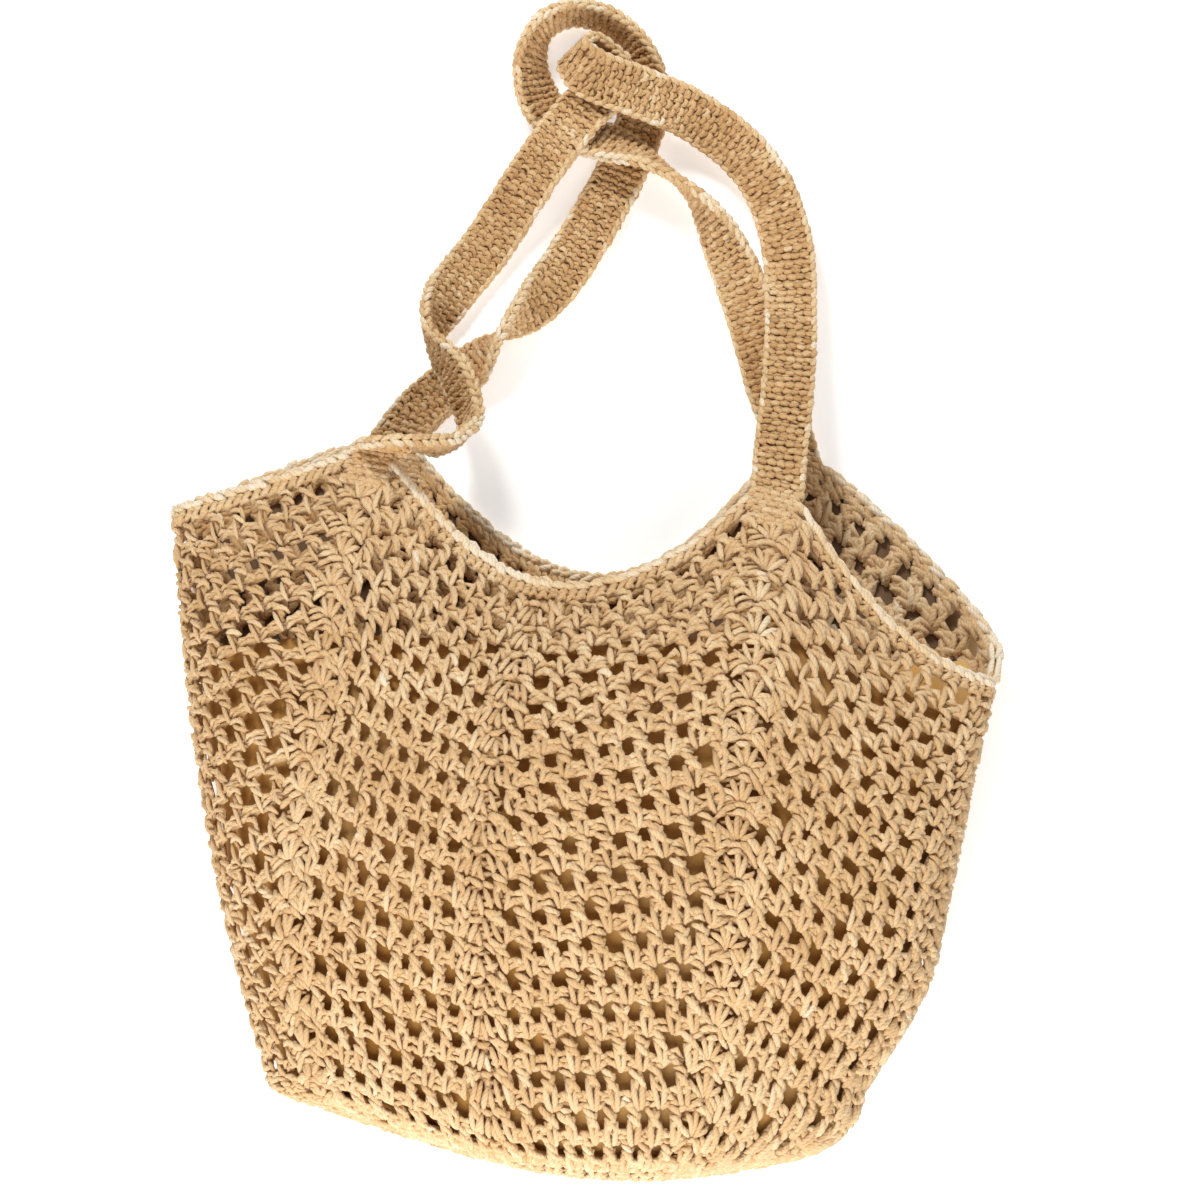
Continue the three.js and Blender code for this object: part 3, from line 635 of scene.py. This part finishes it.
# the rim: two rows of short close stitches and a twisted cord along the edge, a close patch at each strap
rim = {
    # the cord's yarn is lighter: a painted highlight along the rim's edge
    "stitches": 24, "height": 11.0, "radius": 1.4, "cordLinks": 19, "cordRadius": 1.65, "cordHighlight": 0.45,
    "rootHalf": 0.105, "patchColumns": 5, "patchRows": 5, "patchRow": 0.37, "patchLow": -0.55, "stagger": 0.5,
}
shortStitch = {
    "low": ((-0.55, -0.02, 0.5), (0.0, 0.14, 1.6), (0.5, 0.02, 0.6)),
    "high": ((-0.5, 0.3, 0.5), (0.05, 0.46, 1.7), (0.5, 0.36, 0.6)),
    "slant": ((-0.4, -0.12, 0.7), (0.0, 0.2, 2.0), (0.25, 0.5, 0.9)),
    "core": ((-0.6, 0.2, -0.7), (0.0, 0.2, -0.7), (0.6, 0.2, -0.7)),
    "backLow": ((-0.55, 0.0, -0.7), (0.0, 0.15, -1.8), (0.5, 0.02, -0.7)),
    "backHigh": ((-0.5, 0.34, -0.7), (0.05, 0.48, -1.8), (0.5, 0.38, -0.7)),
}
cordStitch = {
    "edge": ((-0.7, 1.02, -0.8), (-0.2, 1.0, 0.9), (0.3, 0.88, 1.2), (0.75, 0.74, 0.2)),
    "face": ((-0.75, 0.84, 0.9), (-0.3, 0.75, 2.3), (0.2, 0.65, 2.2), (0.65, 0.57, 0.8)),
    "back": ((-0.75, 0.85, -1.0), (0.0, 0.72, -2.0), (0.75, 0.6, -1.0)),
}
closeLoop = {
    "top": ((-0.6, -0.25, 0.4), (-0.2, 0.22, 1.9), (0.25, 0.2, 1.9), (0.6, -0.15, 0.5)),
    "low": ((-0.5, -0.5, 0.3), (0.0, -0.28, 1.4), (0.5, -0.5, 0.3)),
}


def rimBand():
    kit = newKit()
    row = rim["height"] / wall["length"]
    peaks = np.flatnonzero(spineRise > 0)
    for stitch, links, radius, tone in ((shortStitch, rim["stitches"], rim["radius"], 0.0),
                                        (cordStitch, rim["cordLinks"], rim["cordRadius"], rim["cordHighlight"])):
        u = (np.arange(links * panels) + 0.5) / links
        u = u[np.abs(u[:, None] - peaks).min(axis=1) > rim["rootHalf"]]
        count = len(u)
        u = u + rng.normal(0, uneven["rimAlong"], count)
        layStitches(kit, stitch, u, np.ones(count), np.full(count, 1 / links), np.full(count, row),
                    np.zeros(count), radius, 5, 4, tone, onRing)
    column, line, peak = np.meshgrid(np.arange(rim["patchColumns"]), np.arange(rim["patchRows"]), peaks)
    line = line.ravel()
    column = column.ravel() - (rim["patchColumns"] - 1) / 2 + (line % 2 - 0.5) * rim["stagger"]
    step = 2 * rim["rootHalf"] / rim["patchColumns"]
    count = len(column)
    u = peak.ravel() + column * step
    v = 1 + (rim["patchLow"] + rim["patchRow"] * line) * row
    layStitches(kit, closeLoop, u, v, np.full(count, step), np.full(count, rim["patchRow"] * row),
                np.zeros(count), rim["cordRadius"], 5, 4, place=onRing)
    return makePiece("rim_cord", kit, netYarn, "cotton_net", "rim_band")


rimBand()

# the straps' routes in mm on the plan: place, and roll in degrees about the route
frontRoute = (
    (-97, 67, 65, 76), (-84, 69, 57, 75), (-72, 74, 43, 74), (-63, 89, 28, 68), (-71, 114, 25, 62),
    (-84, 137, 18, 94), (-77, 158, 12, 142), (-55, 191, 7, 172), (-31, 227, 16, 180), (-12, 251, 24, 180),
    (2, 268, 17, 190), (9, 279, 16, 238), (3, 288, 18, 268), (-7, 289, 23, 274), (-13, 281, 31, 304),
    (-4, 270, 33, 334), (20, 262, 29, 346), (50, 252, 18, 338), (78, 228, 14, 335), (92, 190, 18, 345),
    (94, 146, 22, 358), (91, 102, 34, 360), (87, 72, 44, 360),
)
backRoute = (
    (-88, 104, 4.3, 8), (-65, 124, 7, 22), (-46, 142, 14, 88), (-27, 163, 9, 145), (-5, 199, 4, 176),
    (11, 231, 3, 180), (20, 254, 3.5, 182), (23, 271, 6, 196), (20, 288, 12, 236), (7, 305, 15, 262),
    (-12, 312, 15, 270), (-29, 304, 15, 262), (-35, 285, 12, 236), (-29, 264, 8.5, 208), (-15, 250, 9.5, 204),
    (5, 240, 15.5, 207), (25, 229, 19, 238), (45, 214, 16, 262), (60, 191, 12, 306), (71, 165, 8, 336),
    (79, 139, 5, 350), (85, 116, 3.5, 358),
)
strap = {
    "width": 25.0, "rowPitch": 3.9, "across": 5, "stagger": 0.3, "relief": 0.95, "radius": 1.42,
    # the chained edges are lighter: a painted highlight along the straps' edges
    "detail": ((5, 4), (4, 3)), "edgeRadius": 1.5, "edgePitch": 4.9, "edgeWidth": 1.4, "edgeHighlight": 0.27,
    # the core sheet between the two faces is darker: painted shade in the gaps between the rows
    "coreInset": 1.6, "coreHalf": 0.4, "coreShade": -0.5,
    "seatGap": 0.35, "uprightRoot": 3.9, "rootSpan": 0.05, "tableSteps": 40,
}
# one link of the chained edge: across in mm, along in links, out in mm
edgeStitch = ((11.5, -0.65, 0.1), (11.8, -0.15, 1.0), (11.3, 0.3, 1.9), (10.5, 0.65, 1.7))
# how uneven the straps are: shares of a row, a column, a link or a radius, "out" and "edgeAcross" in mm
strapUneven = {
    "tip": 0.16, "along": 0.07, "across": 0.07, "out": 0.18, "radius": 0.08,
    "edgeAlong": 0.05, "edgeAcross": 0.15, "edgeRadius": 0.06,
}


def crossAxes(along, roll):
    side = unit(np.cross(along, np.array((0.0, 0.0, 1.0))))
    turn = -np.radians(roll)[..., None]
    wide = side * np.cos(turn) + np.cross(along, side) * np.sin(turn)
    return wide, np.cross(along, wide)


def onPlan(u, v):
    return lookUp(wallPoints, np.array([u % panels]), np.array([v]))[0] / mm + np.array(wall["centre"])


def strapRoot(u, heading, neighbour):
    clear = rim["height"] + 2 * strap["seatGap"]
    low = onPlan(u, 1 + clear / wall["length"])
    outward = lookUp(wallNormals, np.array([u]), np.array([1.0]))[0]
    upright = abs(unit(np.array(neighbour[:3]) - low) @ outward)
    top = 1 + (clear + upright * strap["uprightRoot"]) / wall["length"]
    at = [onPlan(u + d, top) for d in (-strap["rootSpan"], 0, strap["rootSpan"])]
    along = unit((np.array(neighbour[:3]) - at[1]) * heading)
    alongRim = at[2] - at[0]
    wide, thick = crossAxes(along, np.array(0.0))
    tiltAngle = math.degrees(math.atan2(-alongRim @ thick, alongRim @ wide))
    roll = tiltAngle + 180 * round((neighbour[3] - tiltAngle) / 180)
    wide = crossAxes(along, np.array(roll))[0]
    return at[1], roll, math.atan(alongRim @ along / (alongRim @ wide))


def curvePoint(points, x):
    k = np.clip(np.floor(x).astype(int), 0, len(points) - 2)
    t = (x - k)[:, None]
    ends = np.concatenate([[2 * points[0] - points[1]], points, [2 * points[-1] - points[-2]]])
    p0, p1, p2, p3 = (ends[k + i] for i in range(4))
    spans = ((p0, p1), (p1, p2), (p2, p3))
    d0, d1, d2 = (np.sqrt(np.linalg.norm(b - a, axis=1))[:, None] for a, b in spans)
    t1 = ((p1 - p0) / d0 - (p2 - p0) / (d0 + d1) + (p2 - p1) / d1) * d1
    t2 = ((p2 - p1) / d1 - (p3 - p1) / (d1 + d2) + (p3 - p2) / d2) * d1
    return p1 + t * t1 + t * t * (-3 * p1 + 3 * p2 - 2 * t1 - t2) + t ** 3 * (2 * p1 - 2 * p2 + t1 + t2)


def strapTable(startPeak, endPeak, route):
    seat, roll, skew = strapRoot(startPeak, 1, route[0])
    endSeat, endRoll, endSkew = strapRoot(endPeak, -1, route[-1])
    points = np.array([seat] + [row[:3] for row in route] + [endSeat], float)
    rolls = np.array([roll] + [row[3] for row in route] + [endRoll], float)
    skews = np.array([skew] + [0] * len(route) + [endSkew], float)
    x = np.linspace(0, len(points) - 1, strap["tableSteps"] * (len(points) - 1) + 1)
    centre = curvePoint(points, x)
    along = unit(np.gradient(centre, axis=0))
    wide, thick = crossAxes(along, smoothValue(rolls, x))
    bend = -smoothValue(skews, x)[:, None]
    wide = wide * np.cos(bend) + np.cross(thick, wide) * np.sin(bend)
    length = np.concatenate([[0], np.cumsum(np.linalg.norm(np.diff(centre, axis=0), axis=1))])
    return length, (centre - np.array(wall["centre"])) * mm, wide, thick


def alongStrap(rows, s, length):
    return np.stack([np.interp(s, length, rows[:, k]) for k in range(3)], axis=-1)


def onStrap(table, s, w, c):
    length, centre, wide, thick = table
    across = unit(alongStrap(wide, s, length))
    up = unit(alongStrap(thick, s, length))
    return alongStrap(centre, s, length) + across * (w * mm)[..., None] + up * (c * mm)[..., None], up


def strapPiece(name, node, table):
    kit = newKit()
    total = table[0][-1]
    rows = int(total / strap["rowPitch"])
    pitch = total / rows
    stepW = (strap["width"] - 2 * strap["edgeWidth"]) / strap["across"]
    row, column = np.meshgrid(np.arange(rows), np.arange(strap["across"]))
    row = row.ravel()
    column = column.ravel() - (strap["across"] - 1) / 2 + (row % 2 - 0.5) * strap["stagger"]
    count = len(row)
    half = strap["width"] / 2 - strap["coreInset"]
    for face in (1, -1):
        for path, (sides, steps) in zip(closeLoop.values(), strap["detail"]):
            line = smoothPath(path, steps)
            tip = rng.normal(0, strapUneven["tip"], (count, 1)) * line[None, :, 0]
            jitter = rng.normal(0, strapUneven["along"], (count, 1))
            s = (row[:, None] + 0.5 + line[None, :, 1] + tip + jitter) * pitch
            jitter = rng.normal(0, strapUneven["across"], (count, 1))
            w = (column[:, None] + line[None, :, 0] + jitter) * stepW
            c = (line[None, :, 2] * strap["relief"] + rng.normal(0, strapUneven["out"], (count, 1))) * face
            points, ups = onStrap(table, np.clip(s, 0, total), w, c)
            radius = strap["radius"] * rng.normal(1, strapUneven["radius"], count)
            addStrands(kit, points, ups, radius, sides, 0.0)
        for edge in (1, -1):
            line = smoothPath(edgeStitch, 4)
            rope = onStrap(table, table[0], edge * half + 0 * table[0], 0 * table[0])[0] / mm
            ropeLength = np.concatenate([[0], np.cumsum(np.linalg.norm(np.diff(rope, axis=0), axis=1))])
            links = int(ropeLength[-1] / strap["edgePitch"])
            jitter = rng.normal(0, strapUneven["edgeAlong"], (links, 1))
            at = np.arange(links)[:, None] + 0.5 + line[None, :, 1] + jitter
            s = np.interp(at * ropeLength[-1] / links, ropeLength, table[0])
            w = line[None, :, 0] * edge + rng.normal(0, strapUneven["edgeAcross"], (links, 1))
            c = line[None, :, 2] * face + 0 * s
            points, ups = onStrap(table, np.clip(s, 0, total), w + 0 * s, c)
            radius = strap["edgeRadius"] * rng.normal(1, strapUneven["edgeRadius"], links)
            addStrands(kit, points, ups, radius, 5, strap["edgeHighlight"])
    s = np.linspace(0, total, rows * 2)
    deep = strap["coreHalf"]
    core = []
    for w, c in ((-half, -deep), (-half, deep), (half, deep), (half, -deep)):
        core.append(onStrap(table, s, w + 0 * s, c + 0 * s)[0])
    addSheet(kit, np.stack(core, axis=1), True, strap["coreShade"])
    return makePiece(name, kit, shadedStrapYarn, "cotton_strap", node)


strapPiece("strap_front_yarn", "strap_front", strapTable(1, 3, frontRoute))
strapPiece("strap_back_yarn", "strap_back", strapTable(7, 5, backRoute))

# the liner: a slack cloth pouch with a straight hem, wrinkled by two crossed waves; its cut size is in metres
linerShape = {
    "gap": 5.2, "backGap": 4.4, "backFacing": -0.9, "thick": 1.0, "columns": 208, "rows": 44,
    "endRows": 12, "endLow": -0.93, "endHigh": -0.08,
    "hemY": -28, "hemFrom": 0.3, "highest": 0.93, "hemSteps": 64,
    "wrinkle": 0.9, "waves": ((9, 7), (4, -11)), "sink": 0.3, "cut": (0.82, 0.27), "cutArea": 0.163,
}


def linerPouch():
    u = np.arange(linerShape["columns"]) * panels / linerShape["columns"]
    vSteps = np.linspace(linerShape["hemFrom"], linerShape["highest"], linerShape["hemSteps"])
    hemY = (linerShape["hemY"] - wall["centre"][1]) * mm
    heights = lookUp(wallPoints, u[:, None] + 0 * vSteps[None], vSteps[None] + 0 * u[:, None])[..., 1]
    top = np.array([np.interp(hemY, y, vSteps) for y in heights])
    endRows = np.linspace(linerShape["endLow"], linerShape["endHigh"], linerShape["endRows"])
    rows = np.concatenate([endRows, np.linspace(0, 1, linerShape["rows"] - linerShape["endRows"])])[:, None]
    v = np.where(rows < 0, rows, rows * top[None])
    uu = u[None] + 0 * v
    waves = [np.sin(uu * a + v * b) for a, b in linerShape["waves"]]
    wrinkle = linerShape["wrinkle"] * (waves[0] * waves[1] - linerShape["sink"])
    normals = unit(lookUp(wallNormals, uu, v))[..., 2]
    gap = np.where(normals < linerShape["backFacing"], linerShape["backGap"], linerShape["gap"])
    out = -gap + wrinkle * np.clip(normals, 0, 1)
    outer = onWall(uu, v, out)[0]
    inner = onWall(uu, v, out - linerShape["thick"])[0]
    kit = newKit()
    addSheet(kit, np.concatenate([outer, inner[::-1]]), True, closedV=True)
    pouch = makePiece("liner_cloth", kit, linerCloth, "liner_cloth", "liner")
    return pouch


linerPouch()

# pale floor and soft studio light from beyond the mouth
stage = {
    "floor": "#F6F6F6", "floorSize": 6.0, "roughness": 0.9, "glow": 0.42,
    "world": "#FFFFFF", "worldPower": 0.22,
}
floorMesh = bpy.data.meshes.new("floor")
floorHalf = stage["floorSize"] / 2
floorCorners = [(x * floorHalf, y * floorHalf, 0) for x, y in ((-1, -1), (1, -1), (1, 1), (-1, 1))]
floorMesh.from_pydata(floorCorners, [], [(0, 1, 2, 3)])
floor = bpy.data.objects.new("floor", floorMesh)
bpy.context.scene.collection.objects.link(floor)
# lit white board: matt, and bright enough to read as an even white ground
floorMaterial, _, floorShader = newMaterial("lit white board")
floorShader.inputs["Base Color"].default_value = linear(stage["floor"])
floorShader.inputs["Roughness"].default_value = stage["roughness"]
floorShader.inputs["Emission Color"].default_value = linear(stage["world"])
floorShader.inputs["Emission Strength"].default_value = stage["glow"]
floorMesh.materials.append(floorMaterial)

# a matt, warm sheet of paper under the mouth, seen through the net above the liner: brown for the ground
# there and for painted shade inside the bag; it pales into the floor at its edges as a painted contact shadow
paper = {
    "u": (4.1, 8.0), "v": (0.42, 1.02), "columns": 80, "rows": 24, "fadeRight": 0.28, "fadeLeft": 0.14,
    "fadeLow": 0.25, "lift": 0.05, "colour": "#80644A", "edge": "#C8A67A", "edgeAt": 0.3,
}


def easeIn(x):
    x = np.clip(x, 0, 1)
    return x * x * (3 - 2 * x)


paperColumns = np.linspace(*paper["u"], paper["columns"])
paperRows = np.linspace(*paper["v"], paper["rows"])
paperU, paperV = np.meshgrid(paperColumns, paperRows)
paperPoints = lookUp(wallPoints, paperU, paperV)
paperPoints[..., 2] = paper["lift"] * mm
fromRight = easeIn((paperU - paper["u"][0]) / paper["fadeRight"])
fromLeft = easeIn((paper["u"][1] - paperU) / paper["fadeLeft"])
paperShade = fromRight * fromLeft * easeIn((paperV - paper["v"][0]) / paper["fadeLow"])
paperKit = newKit()
addSheet(paperKit, paperPoints[:, ::-1])
paperMesh = bpy.data.meshes.new("paper")
paperMesh.from_pydata(paperKit["verts"][0].tolist(), [], paperKit["quads"][0].tolist())
paperMesh.attributes.new("shade", "FLOAT", "POINT").data.foreach_set("value", paperShade[:, ::-1].ravel())
paperObject = bpy.data.objects.new("paper", paperMesh)
bpy.context.scene.collection.objects.link(paperObject)
paperShadeMaterial, paperTree, paperShader = newMaterial("brown paper of painted shade")
paperFac = addNode(paperTree, "ShaderNodeAttribute", attribute_name="shade").outputs["Fac"]
paperRamp = addNode(paperTree, "ShaderNodeValToRGB", {"Fac": paperFac})
paperColours = map(linear, (stage["floor"], paper["edge"], paper["colour"]))
setRamp(paperRamp, list(zip((0.0, paper["edgeAt"], 1.0), paperColours)))
paperGlow = addNode(paperTree, "ShaderNodeMapRange", {
    "Value": paperFac, "From Max": paper["edgeAt"], "To Min": stage["glow"], "To Max": 0.0})
paperTree.links.new(paperRamp.outputs["Color"], paperShader.inputs["Base Color"])
paperTree.links.new(paperGlow.outputs[0], paperShader.inputs["Emission Strength"])
paperShader.inputs["Emission Color"].default_value = linear(stage["world"])
paperShader.inputs["Roughness"].default_value = stage["roughness"]
paperMesh.materials.append(paperShadeMaterial)
print("floor and paper laid")

# a window beyond the mouth, a little light from the right, and the room on the side of the closed end
lights = {
    "window": {"at": (-0.45, 1.05, 1.15), "size": 0.4, "power": 14, "colour": "#FFFEFC"},
    "side": {"at": (0.9, 0.75, 0.6), "size": 0.4, "power": 4, "colour": "#FFFEFC"},
    "room": {"at": (-0.15, -1.05, 0.68), "size": 0.9, "power": 14.5, "colour": "#FFFCF7"},
}
for name, setting in lights.items():
    lamp = bpy.data.lights.new(name, "AREA")
    lamp.size = setting["size"]
    lamp.energy = setting["power"]
    lamp.color = linear(setting["colour"])[:3]
    lampObject = bpy.data.objects.new(name, lamp)
    bpy.context.scene.collection.objects.link(lampObject)
    lampObject.location = setting["at"]
    aim = Vector((0, 0, 0)) - Vector(setting["at"])
    lampObject.rotation_euler = aim.to_track_quat("-Z", "Y").to_euler()
world = bpy.data.worlds.new("studio")
bpy.context.scene.world = world
world.use_nodes = True
background = world.node_tree.nodes["Background"]
background.inputs["Color"].default_value = linear(stage["world"])
background.inputs["Strength"].default_value = stage["worldPower"]
bpy.context.scene.view_settings.view_transform = "Standard"
print("lights set")
